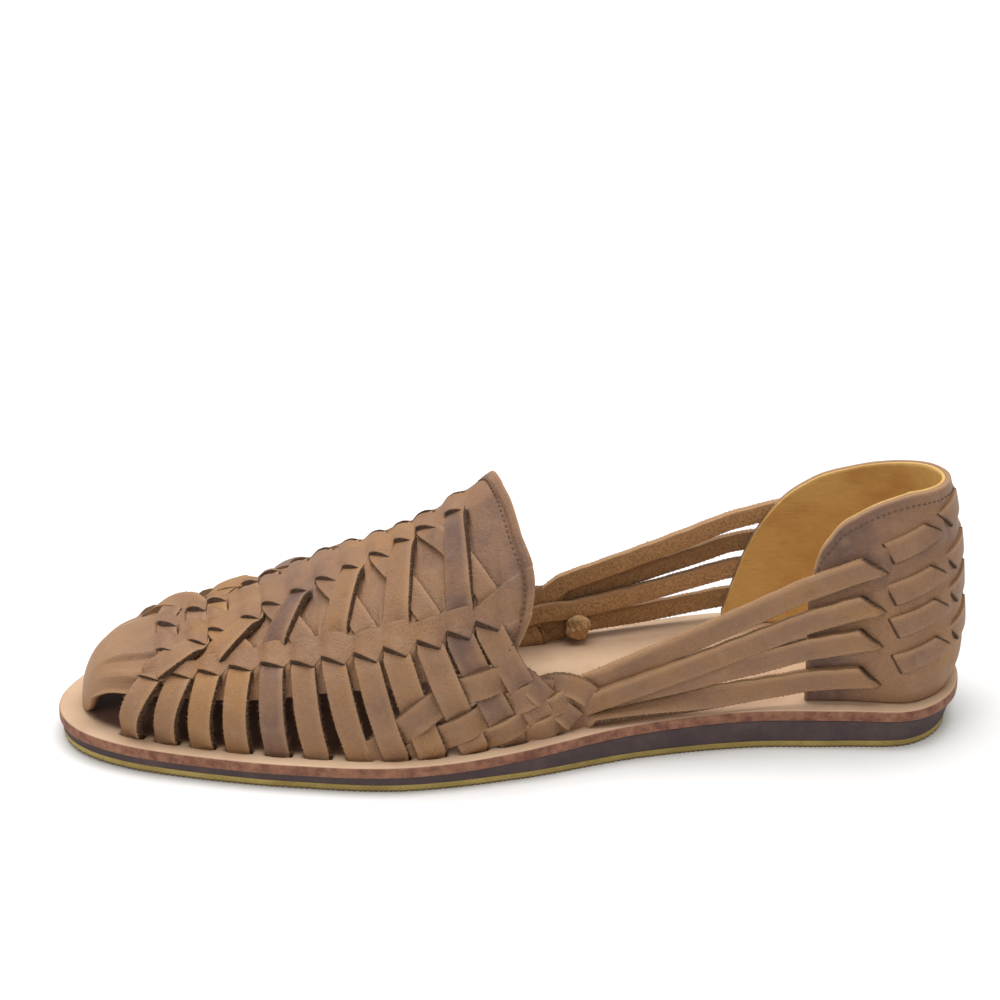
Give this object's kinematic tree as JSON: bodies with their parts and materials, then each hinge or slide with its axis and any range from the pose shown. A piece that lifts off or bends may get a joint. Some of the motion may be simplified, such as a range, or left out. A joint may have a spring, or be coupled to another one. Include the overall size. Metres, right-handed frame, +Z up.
{
  "type": "huarache sandal",
  "caption": "Woven leather huarache sandal, left shoe: closed toe plug laced with narrow straps, braided instep, open sides, heel counter and flat layered sole.",
  "frame": {"origin": "on the floor under the middle of the shoe's bounding box", "axes": "+X from the toe to the heel, -Y the outer (lateral) side, +Z up"},
  "size_m": [0.2696, 0.0904, 0.0776],
  "materials": {
    "outsole_crepe": "dull olive-yellow crepe rubber",
    "midsole_rubber": "dark grey-brown cellular rubber sheet, cut edge",
    "insole_leather": "natural vegetable-tanned leather, worn, with a dyed red-brown edge",
    "upper_leather": "waxy pull-up leather, tan to purple-brown, soft sheen, raw pale edges",
    "counter_leather": "waxy pull-up leather outside, ochre lining inside"
  },
  "bodies": {
    "root": {"outsole": "outsole_crepe", "midsole": "midsole_rubber", "insole": "insole_leather", "upper": "upper_leather", "heel_counter": "counter_leather"}
  },
  "joints": []
}
